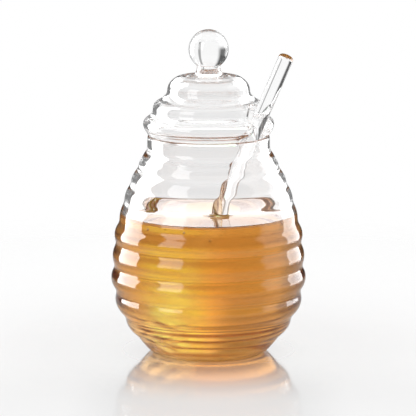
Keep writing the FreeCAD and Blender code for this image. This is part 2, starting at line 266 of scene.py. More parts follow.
def turned_ring(place, segments, wave=None):
    """A ring about the upright axis through a point of a half section."""
    if place.real < ON_AXIS:
        return [Vector((0, 0, place.imag))]
    ring = []
    for angle in full_turn(segments):
        radius = place.real * (1 + (wave(angle, place.imag) if wave else 0))
        ring.append(Vector((radius * math.cos(angle), radius * math.sin(angle), place.imag)))
    return ring


def lathe(name, outline, segments, wave=None):
    rings = [turned_ring(place, segments, wave) for place in outline]
    return finish_mesh(name, sum(rings, []), skin_faces(rings))


# ---- pot ----

MOUTH_RADIUS = NECK_RADIUS - WALL
POT_SEGMENTS = 204
POT_STEP = 0.66
POT_EASING = 3
RIM_POINTS = 8
WETTED_TOP = HONEY_LEVEL - 1.2  # honey wets the glass below this
WETTED_LOW = 24.0           # and is clearer against it below this


def egg_radius(height, inset_by):
    """Radius of the egg between the ribs, or of its inside for an inset of one wall."""
    half_axis = BODY_DROP
    if height >= BODY_HEIGHT:
        narrowed = (SHOULDER_RADIUS - SHOULDER_PROUD) / BODY_RADIUS
        half_axis = (SHOULDER_HEIGHT - BODY_HEIGHT) / math.sqrt(1 - narrowed ** 2)
    share = (height - BODY_HEIGHT) / (half_axis - inset_by)
    return (BODY_RADIUS - inset_by) * math.sqrt(1 - share * share)


def egg_direction(height, inset_by):
    """The way it runs downwards at a height."""
    step = 0.01
    across = egg_radius(height - step, inset_by) - egg_radius(height + step, inset_by)
    downward = complex(across, -2 * step)
    return downward / abs(downward)


def rib_waists():
    """Heights of the waists above and below the ribs, from the shoulder down."""
    shares = [1 + number * RIB_GROWTH for number in range(len(RIB_HEIGHTS) - 1)] + [LAST_RIB_SHARE]
    first_rib = (SHOULDER_HEIGHT - HEEL_HEIGHT) / sum(shares)
    waists = [SHOULDER_HEIGHT]
    for share in shares:
        waists.append(waists[-1] - share * first_rib)
    return waists


def body_line(collar_radius, inset_by, depth, end):
    """From the collar down over the ribs to a level end; depth scales the ribs."""
    waists = rib_waists()
    stations = [
        (complex(collar_radius, POT_HEIGHT - NECK_LENGTH), -1j),
        (complex(SHOULDER_RADIUS - inset_by, waists[0]), egg_direction(waists[0], inset_by)),
    ]
    for number, height in enumerate(RIB_HEIGHTS):
        crest = (waists[number] + waists[number + 1]) / 2
        proud = egg_radius(crest, inset_by) + height * depth
        stations.append((complex(proud, crest), egg_direction(crest, inset_by)))
        waist = waists[number + 1]
        stations.append((complex(egg_radius(waist, inset_by), waist), egg_direction(waist, inset_by)))
    stations.append((end, -1 + 0j))
    shares = [1.0] + [WAIST_SHARE, 1 / WAIST_SHARE] * len(RIB_HEIGHTS) + [1.0]
    return smooth_line(stations, shares)


def inner_wall():
    """The inside of the pot, from the collar down to the middle of the floor."""
    line = body_line(MOUTH_RADIUS, WALL, RIB_DEPTH_INSIDE, complex(FLOOR_RADIUS, BASE))
    return line + [complex(0, BASE)]


def blown(angle, height):
    """Hand-blown glass is a little out of round, and nowhere wider than its outline."""
    ovals = math.sin(2 * angle + 0.02 * height) + 0.5 * math.sin(3 * angle - 0.05 * height)
    return OUT_OF_ROUND * (ovals - 1.5)


def make_pot():
    """Its faces have slot 0 where they are dry, 1 where honey wets them and 2 low down."""
    outside = body_line(NECK_RADIUS, 0, 1, complex(FOOT_RADIUS, 0)) + [complex(0, UNDERSIDE_RISE)]
    inside = inner_wall()
    rim_outer = complex(NECK_RADIUS, POT_HEIGHT - RIM_ROUNDING)
    rim_inner = complex(MOUTH_RADIUS, POT_HEIGHT - RIM_ROUNDING)
    middle = complex((NECK_RADIUS + MOUTH_RADIUS) / 2, POT_HEIGHT)
    rim = [rim_inner] + tangent_arc(rim_inner, 1j, middle, RIM_POINTS)
    rim += tangent_arc(middle, 1 + 0j, rim_outer, RIM_POINTS)
    outline = eased(evenly(inside[::-1] + rim + outside, POT_STEP), POT_EASING)
    item = lathe("pot_glass", outline, POT_SEGMENTS, blown)
    inner = outline[:len(outline) // 2]
    low = POT_SEGMENTS * sum(place.imag < WETTED_LOW for place in inner)
    wetted = POT_SEGMENTS * sum(place.imag < WETTED_TOP for place in inner)
    for number, face in enumerate(item.data.polygons):
        face.material_index = 2 if number < low else 1 if number < wetted else 0
    return item


# ---- dipper ----

DIPPER_SEGMENTS = 96
DIPPER_STEP = 0.3
DIPPER_EASING = 6
ROD_END_POINTS = 6
HEAD_POINTS = 380


def dipper_place(radius, angle, length):
    """A point of the leaning dipper: radius and angle about its axis, length from its tip."""
    half_width = ROD_RADIUS / math.cos(LEAN)
    tip_height = BASE + DIPPER_LIFT
    tip = MOUTH_RADIUS - half_width + RIM_OVERHANG - (POT_HEIGHT - tip_height) * math.tan(LEAN)
    across = radius * math.cos(angle)
    outward = tip + length * math.sin(LEAN) + across * math.cos(LEAN)
    sideways = radius * math.sin(angle)
    return Vector((
        outward * math.cos(SIDE) - sideways * math.sin(SIDE),
        outward * math.sin(SIDE) + sideways * math.cos(SIDE),
        tip_height + length * math.cos(LEAN) - across * math.sin(LEAN),
    ))


def head_radius(length):
    """The barrel's radius with its grooves."""
    chord = complex(HEAD_NECK - HEAD_TIP, HEAD_LENGTH)
    outward = complex(HEAD_LENGTH, HEAD_TIP - HEAD_NECK) / abs(chord)
    centre = HEAD_TIP + chord / 2 - outward * math.sqrt(HEAD_BOW ** 2 - abs(chord) ** 2 / 4)
    radius = centre.real + math.sqrt(HEAD_BOW ** 2 - (length - centre.imag) ** 2)
    for number in range(GROOVES):
        off = abs(length - GROOVE_FIRST - number * GROOVE_PITCH)
        radius = min(radius, GROOVE_CORE + max(0.0, off - GROOVE_FLAT) * GROOVE_SLOPE)
    return radius


def dipper_outline():
    """Half section of the dipper about its own axis, from its tip up."""
    lengths = [HEAD_LENGTH * k / HEAD_POINTS for k in range(HEAD_POINTS + 1)]
    head = [complex(head_radius(length), length) for length in lengths]
    shoulder = complex(ROD_RADIUS, HEAD_LENGTH + HEAD_TAPER)
    end = complex(ROD_RADIUS, DIPPER_LENGTH - ROD_ROUNDING)
    top = complex(ROD_RADIUS - ROD_ROUNDING, DIPPER_LENGTH)
    line = [0j] + head + [shoulder, end] + tangent_arc(end, 1j, top, ROD_END_POINTS)
    return eased(evenly(line + [complex(0, DIPPER_LENGTH)], DIPPER_STEP), DIPPER_EASING)


def dipper_rings(outline, angles):
    """Rings about the dipper's axis; a place on the axis is a ring of one point."""
    rings = []
    for place in outline:
        if place.real < ON_AXIS:
            rings.append([dipper_place(0, 0, place.imag)])
        else:
            rings.append([dipper_place(place.real, angle, place.imag) for angle in angles])
    return rings


def make_dipper():
    rings = dipper_rings(dipper_outline(), full_turn(DIPPER_SEGMENTS))
    return finish_mesh("dipper_glass", sum(rings, []), skin_faces(rings))


# ---- honey ----

HONEY_SEGMENTS = 168
HONEY_STEP = 0.8
SURFACE_RINGS = 70
SURFACE_DROP = 0.4          # the open surface lies this far below the level in its middle
WALL_CLIMB = 0.9            # it climbs the glass by this much
WALL_REACH = 0.5
CLIMB_END = -0.12           # the climb ends this far inside the glass
ROD_CLIMB = 2.2             # and it climbs the rod by this much
ROD_REACH = 1.6
CAVITY_GAP = 0.08           # the honey's inner skin lies this far inside the dipper
CAVITY_RADIUS = ROD_RADIUS - CAVITY_GAP
CAVITY_LENGTH = 70.0        # its rings end here, below the surface


def honey_height(to_wall, to_rod):
    """Height of the open surface by its distances from the glass and from the rod."""
    rise = WALL_CLIMB * math.exp(-max(to_wall, CLIMB_END) / WALL_REACH)
    return HONEY_LEVEL - SURFACE_DROP + rise + ROD_CLIMB * math.exp(-to_rod / ROD_REACH)


def rod_crossing(radius, angle, height):
    """Length along the dipper at which a line along its side reaches a height."""
    drop = radius * math.cos(angle) * math.sin(LEAN)
    return (height - BASE - DIPPER_LIFT + drop) / math.cos(LEAN)


def spread(count):
    """Shares from 0 to 1, closer together at both ends."""
    return [(1 - math.cos(math.pi * k / count)) / 2 for k in range(count + 1)]


def rod_contact(angle, height):
    """Where the honey meets the rod, at a height."""
    return dipper_place(CAVITY_RADIUS, angle, rod_crossing(CAVITY_RADIUS, angle, height))


def honey_skin():
    """Half section of the honey against the pot, from the middle of the floor to its edge."""
    wall = inner_wall()
    at_level = next(k for k, place in enumerate(wall) if place.imag < HONEY_LEVEL)
    down = evenly(wall[at_level:], HONEY_STEP)
    skin = []
    for before, place, after in zip([down[0]] + down, down, down[1:] + [down[-1]]):
        along = (after - before) / max(abs(after - before), TINY)
        skin.append(place + 1j * along * HONEY_IN_WALL)
    skin = [complex(max(place.real, 0), place.imag) for place in skin][::-1]
    skin[0] = complex(0, skin[0].imag)
    skin[-1] = complex(skin[-1].real, honey_height(-HONEY_IN_WALL, FAR))
    return skin


def honey_surface(edge, angles):
    """Rings of the open surface, from the one after its edge in to the rod."""
    level_ring = [rod_contact(angle, HONEY_LEVEL) for angle in angles]
    wall_radius = math.hypot(edge[0].x, edge[0].y) - HONEY_IN_WALL
    rings = []
    for share in spread(SURFACE_RINGS)[1:]:
        ring = []
        for rim, rod in zip(edge, level_ring):
            place = rim.lerp(rod, share)
            to_wall = wall_radius - math.hypot(place.x, place.y)
            to_rod = (place - rod).length - CAVITY_GAP
            place.z = honey_height(to_wall, max(to_rod, 0.0))
            ring.append(place)
        rings.append(ring)
    rings[-1] = [rod_contact(angle, place.z) for angle, place in zip(angles, rings[-1])]
    return rings


def honey_cavity():
    """Half section of the hollow that the dipper fills, from its top down to its tip."""
    line = [complex(max(place.real - CAVITY_GAP, 0), place.imag) for place in dipper_outline()]
    line = [place for place in line if CAVITY_GAP < place.imag < CAVITY_LENGTH]
    return line[:0:-1] + [complex(0, CAVITY_GAP)]


def make_honey():
    """The attribute open_air is 1 where the surface lies free and 0 against glass."""
    skin = [turned_ring(place, HONEY_SEGMENTS) for place in honey_skin()]
    angles = full_turn(HONEY_SEGMENTS, -SIDE)
    rings = skin + honey_surface(skin[-1], angles) + dipper_rings(honey_cavity(), angles)
    item = finish_mesh("honey_body", sum(rings, []), skin_faces(rings))
    covered = sum(len(ring) for ring in skin[:-1])
    uncovered = covered + HONEY_SEGMENTS * SURFACE_RINGS
    open_air = item.data.attributes.new("open_air", "FLOAT", "POINT")
    for number, value in enumerate(open_air.data):
        value.value = 1.0 if covered <= number < uncovered else 0.0
    add_bubbles(item.data)
    return item


BUBBLES = [                 # middle and radius
    ((-31.0, -31.5, 72.2), 0.75),
    ((-12.5, -41.5, 72.4), 0.6),
    ((0.8, -44.0, 67.6), 0.7),
    ((36.6, -22.5, 73.6), 0.8),
    ((-22.0, -37.0, 73.4), 0.4),
    ((24.0, -38.0, 60.0), 0.4),
]
BUBBLE_SEED = 4
SMALL_BUBBLES = 16          # scattered: distance from the axis, height and radius
SMALL_BUBBLE_AWAY = (20, 40)
SMALL_BUBBLE_HEIGHT = (40, 73)
SMALL_BUBBLE_RADIUS = (0.2, 0.4)


def add_bubbles(mesh):
    """Air in the honey: small spheres whose faces look inwards."""
    chance = random.Random(BUBBLE_SEED)
    places = [(Vector(middle), radius) for middle, radius in BUBBLES]
    for _ in range(SMALL_BUBBLES):
        turn = chance.uniform(0, 2 * math.pi)
        away = chance.uniform(*SMALL_BUBBLE_AWAY)
        height = chance.uniform(*SMALL_BUBBLE_HEIGHT)
        middle = Vector((away * math.cos(turn), away * math.sin(turn), height))
        places.append((middle, chance.uniform(*SMALL_BUBBLE_RADIUS)))
    work = bmesh.new()
    work.from_mesh(mesh)
    for middle, radius in places:
        before = set(work.faces)
        spot = Matrix.Translation(middle * MM)
        bmesh.ops.create_icosphere(work, subdivisions=2, radius=radius * MM, matrix=spot)
        bubble = [face for face in work.faces if face not in before]
        bmesh.ops.reverse_faces(work, faces=bubble)
        for face in bubble:
            face.smooth = True
    work.to_mesh(mesh)
    work.free()


# ---- traces of honey on the rod and on the surface ----

FILM_FOOT = 76.0            # length along the dipper where it leaves the honey
FILM_LENGTH = 20.0
FILM_ROWS = 60
FILM_COLUMNS = 28
FILM_PLACE = 262            # where its foot lies round the rod, in degrees
FILM_DRIFT = 36             # and how far its top lies from there
FILM_TOP_HALF = 9           # half its width near its top, in degrees
FILM_FOOT_HALF = 52         # and what its foot adds
FILM_BODY = 0.04            # thickness in its middle
FILM_RIM = 0.34             # and what its rim adds
FILM_RIM_PLACE = 0.09       # in shares of its half width
FILM_RIM_WIDTH = 0.06
FILM_SUNK = 0.12            # its back lies this deep in the rod
STRAND_SIDES = 14
STRAND_END = 0.15           # its ends keep this share of its thickness
RING_POINTS = 64
RING_AWAY = 0.6             # its distance from the rod, and how much that varies
RING_WAVE = 0.25
RING_LIFT = 0.1
RING_BODY = 0.45
CURL_STEPS = 24
CURL_DEPTH = 0.15
THREADS = [                 # start, bend and end on the surface, and radius
    (-34 + 24j, -31 + 31j, -26.5 + 31j, 0.5),
    (-35 + 15j, -34 + 22j, -29 + 19j, 0.35),
    (-30 + 24j, -31 + 27j, -28 + 28j, 0.45),
]


def strand(path, radius, closed=False):
    """A round strand along points, thin at its ends unless it closes."""
    count = len(path)
    points, faces = [], []
    for k, place in enumerate(path):
        ahead = path[(k + 1) % count] if closed or k < count - 1 else place
        behind = path[k - 1] if closed or k > 0 else place
        along = (ahead - behind).normalized()
        side = along.cross(Vector((0, 0, 1))).normalized()
        top = side.cross(along)
        share = k / (count - 1)
        body = radius if closed else radius * (STRAND_END + math.sin(math.pi * share) ** 0.5)
        for angle in full_turn(STRAND_SIDES):
            points.append(place + (side * math.cos(angle) + top * math.sin(angle)) * body)
    for k in range(count if closed else count - 1):
        for n in range(STRAND_SIDES):
            here, following = k * STRAND_SIDES, (k + 1) % count * STRAND_SIDES
            m = (n + 1) % STRAND_SIDES
            faces.append((here + n, here + m, following + m, following + n))
    if not closed:
        faces.append(tuple(range(STRAND_SIDES))[::-1])
        faces.append(tuple((count - 1) * STRAND_SIDES + n for n in range(STRAND_SIDES)))
    return points, faces


def rod_ring():
    """A thick thread of honey where the rod leaves the surface."""
    path = []
    off_wall = WALL_REACH * 9
    for angle in full_turn(RING_POINTS):
        radius = ROD_RADIUS + RING_AWAY + RING_WAVE * math.sin(2 * angle + 1)
        height = honey_height(off_wall, radius - ROD_RADIUS) + RING_LIFT
        path.append(dipper_place(radius, angle, rod_crossing(radius, angle, height)))
    return strand(path, RING_BODY, closed=True)


def curl(first, middle, last, radius):
    """A bent thread of honey on the surface, from three points on it."""
    path = []
    for k in range(CURL_STEPS + 1):
        share = k / CURL_STEPS
        place = (1 - share) ** 2 * first + 2 * share * (1 - share) * middle + share ** 2 * last
        path.append(Vector((place.real, place.imag, HONEY_LEVEL - CURL_DEPTH)))
    return strand(path, radius)


def film_span(up):
    """Where the drop's middle lies round the rod, and its half width, as angles."""
    half = math.radians(FILM_TOP_HALF + FILM_FOOT_HALF * (1 - up) ** 1.3) * math.sqrt(max(1 - up ** 6, 0.0))
    return math.radians(FILM_PLACE - FILM_DRIFT * up), half * (1 + 0.08 * math.sin(9 * up))


def film_body(from_rim):
    """Its thickness by the share of its half width that a place lies from its rim."""
    body = FILM_BODY + FILM_RIM * math.exp(-((from_rim - FILM_RIM_PLACE) / FILM_RIM_WIDTH) ** 2)
    return body * math.sqrt(max(1 - (1 - min(from_rim / FILM_RIM_PLACE, 1)) ** 2, 0.0))


def make_film():
    """A drop that runs down the rod's side: thin, with a thick rim; pointed at its top."""
    rows, columns = FILM_ROWS, FILM_COLUMNS
    outer, inner = [], []
    for k in range(rows + 1):
        up = k / rows
        middle, half = film_span(up)
        for n in range(columns + 1):
            across = 2 * n / columns - 1
            body = film_body(min(1 - abs(across), (1 - up) * 2.5))
            place = middle + across * half, FILM_FOOT + FILM_LENGTH * up
            outer.append(dipper_place(ROD_RADIUS + body, *place))
            inner.append(dipper_place(ROD_RADIUS - FILM_SUNK, *place))
    wide = columns + 1
    faces = []
    for k in range(rows):
        for n in range(columns):
            corner = k * wide + n
            face = (corner, corner + 1, corner + wide + 1, corner + wide)
            faces.append(face)
            faces.append(tuple(number + len(outer) for number in face[::-1]))
    border = list(range(columns)) + [k * wide + columns for k in range(rows)]
    border += [rows * wide + n for n in range(columns, 0, -1)] + [k * wide for k in range(rows, 0, -1)]
    for first, second in zip(border, border[1:] + border[:1]):
        faces.append((second, first, first + len(outer), second + len(outer)))
    return finish_mesh("honey_film", outer + inner, faces)


def make_threads():
    """Ring and threads in one mesh."""
    points, faces = [], []
    for part_points, part_faces in [rod_ring()] + [curl(*thread) for thread in THREADS]:
        start = len(points)
        points += part_points
        faces += [tuple(number + start for number in face) for face in part_faces]
    return finish_mesh("honey_threads", points, faces)


# ---- lid ----

LID_COLUMNS = 232
EDGE_COLUMNS = [0, 0.03, 0.12, 0.27, 0.48, 0.75, 1.1, 1.6, 2.3]  # distances from the notch's edge
EDGE_CLEARANCE = 2.6        # even rows keep this far from the notch's top
ROW_STEP = 0.75
FINE_STEP = 0.3             # step between rows above the lip's tip
FINE_LENGTH = 4             # and how far up they are so close
ARC_POINTS = 16             # on each arc of the lip and the tiers
CROWN_POINTS = 18
STEM_POINTS = 14
BALL_POINTS = 44
LID_RIM_POINTS = 6
LIP_STEP = 0.12
TIP_STEPS = 16              # so many steps of the outline take in the lip's tip
TIP_ROWS = 10
KNOB_STEP = 0.5


def inward(slope):
    """The direction towards the axis that rises by a slope in degrees."""
    lean = math.radians(slope)
    return complex(-math.cos(lean), math.sin(lean))


def lid_stations():
    """Bulge and corner of each tier on the lid's outside, from the rim up."""
    seat = complex(0, POT_HEIGHT)
    stations = []
    for bulge, corner, slope in LID_TIERS:
        stations += [(seat + bulge, 1j), (seat + corner, inward(slope))]
    return stations


def lid_lines():
    """The lid's outside and inside, both from the tip of the lip upwards, point for point."""
    seat = POT_HEIGHT
    lip_inner = LIP_OUTER - LIP_WALL
    soft = LIP_WALL / 2
    tip = complex(LIP_OUTER - soft, seat - LIP_DEPTH)
    outside = [tip] + tangent_arc(tip, 1 + 0j, complex(LIP_OUTER, seat - LIP_DEPTH + soft), ARC_POINTS)
    corner = complex(LIP_OUTER, seat - LIP_CHAMFER)
    outside += [corner, corner + complex(LIP_CHAMFER, LIP_CHAMFER)]
    outside = evenly(outside + [complex(LID_RIM_RADIUS - LID_RIM_ROUNDING, seat)], LIP_STEP)
    rim = complex(LID_RIM_RADIUS, seat + LID_RIM_ROUNDING)
    outside += tangent_arc(outside[-1], 1 + 0j, rim, LID_RIM_POINTS)
    inside = [tip] + tangent_arc(tip, -1 + 0j, complex(lip_inner, seat - LIP_DEPTH + soft), ARC_POINTS)
    foot = complex(lip_inner, seat)
    inside = divided(inside + [foot], len(outside) - 1)
    outer = lid_stations()
    inner = inset(outer, -LID_WALL)
    outside += blend(rim, LID_RIM_FLARE / abs(LID_RIM_FLARE), *outer[0], 1.0, ARC_POINTS)
    inside += blend(foot, 1j, *inner[0], 1.0, ARC_POINTS)
    shares = [1.0] * (len(outer) - 1)
    outside += smooth_line(outer, shares, ARC_POINTS)[1:]
    inside += smooth_line(inner, shares, ARC_POINTS)[1:]
    return outside, inside


def knob_line(corner):
    """From the top tier's corner over the dome, up the stem and round the ball."""
    centre = complex(0, POT_HEIGHT + KNOB_HEIGHT)
    crown = complex(0, POT_HEIGHT + LID_CROWN)
    below = math.radians(KNOB_JOINT)
    on_ball = centre + KNOB_RADIUS * complex(math.cos(below), -math.sin(below))
    tangent = complex(math.sin(below), math.cos(below))
    stations = [
        (corner, inward(LID_TIERS[-1][2])),
        (crown + STEM_FOOT, STEM_START),
        (crown + STEM_WAIST, 1j),
        (on_ball, tangent),
    ]
    line = smooth_line(stations, [1.0, 0.9, 1.0], STEM_POINTS)
    return line + tangent_arc(on_ball, tangent, centre + 1j * KNOB_RADIUS, BALL_POINTS)


def crown_inside(corner):
    """The inside of the top tier, to the middle of the dome."""
    middle = complex(0, POT_HEIGHT + LID_CROWN - LID_WALL)
    return smooth_line([(corner, inward(LID_TIERS[-1][2])), (middle, -1 + 0j)], [1.0], CROWN_POINTS)


def notch_half_width(height):
    """Half width of the notch at a height above the seat, nothing above its top."""
    springing = NOTCH_HEIGHT - NOTCH_TOP_RADIUS
    if height >= NOTCH_HEIGHT:
        return 0.0
    if height > springing:
        return math.sqrt(NOTCH_TOP_RADIUS ** 2 - (height - springing) ** 2)
    spread_out = (springing - height) / springing
    return NOTCH_TOP_RADIUS + (NOTCH_FOOT - NOTCH_TOP_RADIUS) * spread_out ** NOTCH_FLARE


def edge_factor(distance):
    """Share of its thickness that glass has near a free edge: round, with a bead behind it."""
    if distance <= 0:
        return 0.0
    bead = 1 + BEAD * math.exp(-((distance - BEAD_PLACE) / BEAD_WIDTH) ** 2)
    if distance >= EDGE_SOFT:
        return bead
    return bead * math.sqrt(1 - (1 - distance / EDGE_SOFT) ** 2)


def edge_distance(place, edge):
    """How far a place lies from a line through points."""
    nearest = FAR
    for start, end in zip(edge, edge[1:]):
        step = end - start
        share = min(max(dot(place - start, step) / dot(step, step), 0.0), 1.0)
        nearest = min(nearest, abs(place - start - share * step))
    return nearest


def length_at_height(line, lengths, height):
    """Length along a line where it first comes to a height."""
    k = next(k for k, place in enumerate(line) if place.imag >= height)
    share = (height - line[k - 1].imag) / (line[k].imag - line[k - 1].imag)
    return lengths[k - 1] + share * (lengths[k] - lengths[k - 1])


def lid_rows(outside, inside):
    """Rows outside and inside, their lengths along the outside, and the notch's top."""
    lengths = path_lengths(outside)
    top = length_at_height(outside, lengths, POT_HEIGHT + NOTCH_HEIGHT)
    start = lengths[TIP_STEPS]
    places = [start * k / TIP_ROWS for k in range(TIP_ROWS)]
    place = start
    while place < lengths[-1]:
        places.append(place)
        place += ROW_STEP if place > start + FINE_LENGTH else FINE_STEP
    places = [place for place in places if abs(place - top) > EDGE_CLEARANCE] + [lengths[-1]]
    places += [top + side * step for step in EDGE_COLUMNS for side in (-1, 1)]
    places = sorted(set(places))
    inner = []
    for place in places:
        k = bisect.bisect_right(lengths, place + TINY) - 1
        n = min(k + 1, len(inside) - 1)
        share = (place - lengths[k]) / max(lengths[n] - lengths[k], TINY)
        inner.append(inside[k] + (inside[n] - inside[k]) * min(share, 1.0))
    return along_path(outside, places), inner, places, top


def lid_angles(radius, half_width):
    """Angles from the notch's one side round to the other, close together at its edges."""
    start = math.asin(min(half_width / radius, 1.0))
    edges = [start + step / radius for step in EDGE_COLUMNS]
    span = 2 * math.pi - 2 * edges[-1]
    count = LID_COLUMNS - 2 * len(EDGE_COLUMNS)
    middle = [edges[-1] + span * (k + 1) / (count + 1) for k in range(count)]
    return edges + middle + [2 * math.pi - angle for angle in edges[::-1]]


def lid_point(place, angle):
    """A point of the lid; its angle starts at the middle of the notch."""
    return Vector((place.real * math.cos(angle + SIDE), place.real * math.sin(angle + SIDE), place.imag))


def edge_factors(radius, length, angles, edge):
    """Shares of the thickness along one row, by its length up the lid's outside."""
    factors = []
    for angle in angles:
        across = abs(radius * math.sin(angle))
        distance = FAR
        if math.cos(angle) > 0 and across < EDGE_REACH and length < edge[-1].imag + EDGE_ABOVE:
            distance = edge_distance(complex(across, length), edge)
        factors.append(edge_factor(distance if distance > SMALL else 0.0))
    return factors


def make_lid():
    outside, inside = lid_lines()
    outer, inner, lengths, top = lid_rows(outside, inside)
    halves = [notch_half_width(out.imag - POT_HEIGHT) if length < top - SMALL else 0.0
              for out, length in zip(outer, lengths)]
    edge = [complex(half, length) for half, length in zip(halves, lengths) if length < top + SMALL]
    outer_rings, inner_rings = [], []
    for out, into, length, half in zip(outer, inner, lengths, halves):
        middle = (out + into) / 2
        angles = lid_angles(middle.real, half)
        factors = edge_factors(middle.real, length, angles, edge)
        for rings, side in ((outer_rings, out), (inner_rings, into)):
            rings.append([lid_point(middle + (side - middle) * factor, angle)
                          for angle, factor in zip(angles, factors)])
    angles = lid_angles(outer[-1].real, 0.0)
    above = evenly(knob_line(outside[-1]), KNOB_STEP)
    under = evenly(crown_inside(inside[-1]), ROW_STEP)
    for rings, line in ((outer_rings, above), (inner_rings, under)):
        rings += [[lid_point(place, angle) for angle in angles] for place in line[1:-1]]
        rings.append([Vector((0, 0, line[-1].imag))])
    points = sum(outer_rings, []) + sum(inner_rings, [])
    offset = sum(len(ring) for ring in outer_rings)
    faces = skin_faces(outer_rings, 0, False)
    faces += [face[::-1] for face in skin_faces(inner_rings, offset, False)]
    return finish_mesh("lid_glass", points, faces, merge=WELD)


# ---- materials ----

GLASS_IOR = 1.5
HONEY_IOR = 1.49
HONEY_COLOUR = (0.859, 0.570, 0.0, 1)
HONEY_DENSITY = 34.4
# The drop absorbs far more than the honey in the pot: painted shade, as dark as a thin drop looks against
# the light.
FILM_SHADE_DENSITY = 1500.0
BLOWN_RIPPLE = 40, (1, 1, 2.2), 0.00004  # scale, stretch, height in metres
DRAWN_RIPPLE = 60, (1, 1, 0.4), 0.00003
HONEY_RIPPLE = 30, (1, 1, 1), 0.00002
FILM_RIPPLE = 60, (1, 1, 1), 0.00002
THREAD_RIPPLE = 80, (1, 1, 1), 0.00004
WETTED_ROUGHNESS = 0.27     # honey against glass blurs what shows through it
WETTED_LOW_ROUGHNESS = 0.13
THREAD_ROUGHNESS = 0.12
THREAD_CLEARNESS = 0.3
# Size of the painted golden glow patches; the first colour is the honey's own amber, the second is painted
# glow.
THREAD_GLOW_SCALE = 400.0
THREAD_AMBER_AND_GLOW = [
    (0.35, (0.66, 0.33, 0.05, 1)),
    (0.62, (0.95, 0.66, 0.14, 1)),
]


def new_material(name):
    material = bpy.data.materials.new(name)
    material.use_nodes = True
    material.node_tree.nodes.clear()
    return material, material.node_tree


def add(tree, kind, **settings):
    node = tree.nodes.new(kind)
    for key, value in settings.items():
        setattr(node, key, value)
    return node


def link(output, socket):
    socket.id_data.links.new(output, socket)


def ripple(tree, scale, stretch, height):
    """Soft unevenness of drawn or blown glass, as a normal."""
    where = add(tree, "ShaderNodeTexCoord")
    fit = add(tree, "ShaderNodeMapping")
    fit.inputs["Scale"].default_value = stretch
    noise = add(tree, "ShaderNodeTexNoise")
    noise.inputs["Scale"].default_value = scale
    noise.inputs["Detail"].default_value = 1.0
    bump = add(tree, "ShaderNodeBump")
    bump.inputs["Strength"].default_value = 1.0
    bump.inputs["Distance"].default_value = height
    link(where.outputs["Object"], fit.inputs["Vector"])
    link(fit.outputs["Vector"], noise.inputs["Vector"])
    link(noise.outputs["Fac"], bump.inputs["Height"])
    return bump.outputs["Normal"]


def clear_material(name, ior, roughness, normal, gloss=1.0):
    """Clear solid matter: refraction and gloss."""
    material, tree = new_material(name)
    output = add(tree, "ShaderNodeOutputMaterial")
    shader = add(tree, "ShaderNodeBsdfPrincipled")
    shader.inputs["Base Color"].default_value = (1, 1, 1, 1)
    shader.inputs["Roughness"].default_value = roughness
    shader.inputs["IOR"].default_value = ior
    shader.inputs["Transmission Weight"].default_value = 1.0
    shader.inputs["Specular Tint"].default_value = (gloss, gloss, gloss, 1)
    link(ripple(tree, *normal), shader.inputs["Normal"])
    link(shader.outputs["BSDF"], output.inputs["Surface"])
    return material


def find(tree, kind):
    """The node of a kind that a material has once."""
    return next(node for node in tree.nodes if node.bl_idname == kind)


def absorb(tree, density):
    """Honey all through, its colour by the depth that light crosses."""
    inside = add(tree, "ShaderNodeVolumeAbsorption")
    inside.inputs["Color"].default_value = HONEY_COLOUR
    inside.inputs["Density"].default_value = density
    link(inside.outputs["Volume"], find(tree, "ShaderNodeOutputMaterial").inputs["Volume"])


def honey_material():
    """Amber all through; only the open surface mirrors, the rest lies against glass."""
    material = clear_material("amber_honey", HONEY_IOR, 0.0, HONEY_RIPPLE)
    tree = material.node_tree
    absorb(tree, HONEY_DENSITY)
    open_air = add(tree, "ShaderNodeAttribute", attribute_name="open_air")
    shader = find(tree, "ShaderNodeBsdfPrincipled")
    link(open_air.outputs["Color"], shader.inputs["Specular Tint"])
    return material


def film_material():
    """The honey's colour and index, absorbing far more: painted shade, as dark as a thin drop looks against
    the light.
    """
    material = clear_material("honey_film", HONEY_IOR, 0.0, FILM_RIPPLE)
    absorb(material.node_tree, FILM_SHADE_DENSITY)
    return material


def thread_material():
    """Honey in thin threads, amber with golden patches at random places: painted glow, standing in for
    light caught in it.
    """
    material = clear_material("honey_threads", HONEY_IOR, THREAD_ROUGHNESS, THREAD_RIPPLE)
    tree = material.node_tree
    shader = find(tree, "ShaderNodeBsdfPrincipled")
    shader.inputs["Transmission Weight"].default_value = THREAD_CLEARNESS
    where = add(tree, "ShaderNodeTexCoord")
    # Painted glow: random patches of gold over the threads' amber.
    noise = add(tree, "ShaderNodeTexNoise")
    noise.inputs["Scale"].default_value = THREAD_GLOW_SCALE
    amber_and_glow = add(tree, "ShaderNodeValToRGB")
    for stop, (place, colour) in zip(amber_and_glow.color_ramp.elements, THREAD_AMBER_AND_GLOW):
        stop.position = place
        stop.color = colour
    link(where.outputs["Object"], noise.inputs["Vector"])
    link(noise.outputs["Fac"], amber_and_glow.inputs["Fac"])
    link(amber_and_glow.outputs["Color"], shader.inputs["Base Color"])
    return material


# ---- studio ----

CAMERA_PLACE = (0, -1.95, 0.4216)
CAMERA_TARGET = (-0.0003, 0, 0.0784)
VIEW_WIDTH = 0.22464        # metres across the view at the pot
SENSOR_WIDTH = 36.0

FLOOR_SIZE = 0.45           # radius; the floor's lengths are in metres
FLOOR_SEGMENTS = 96
FLOOR_FADE = (0.2, FLOOR_SIZE - 0.02)
FLOOR_LIT = 0.78            # how white it is for the light it gives
FLOOR_SEEN = 0.93           # and as seen straight, mirrored, through glass
FLOOR_MIRRORED = 0.5
FLOOR_THROUGH_GLASS = 0.95
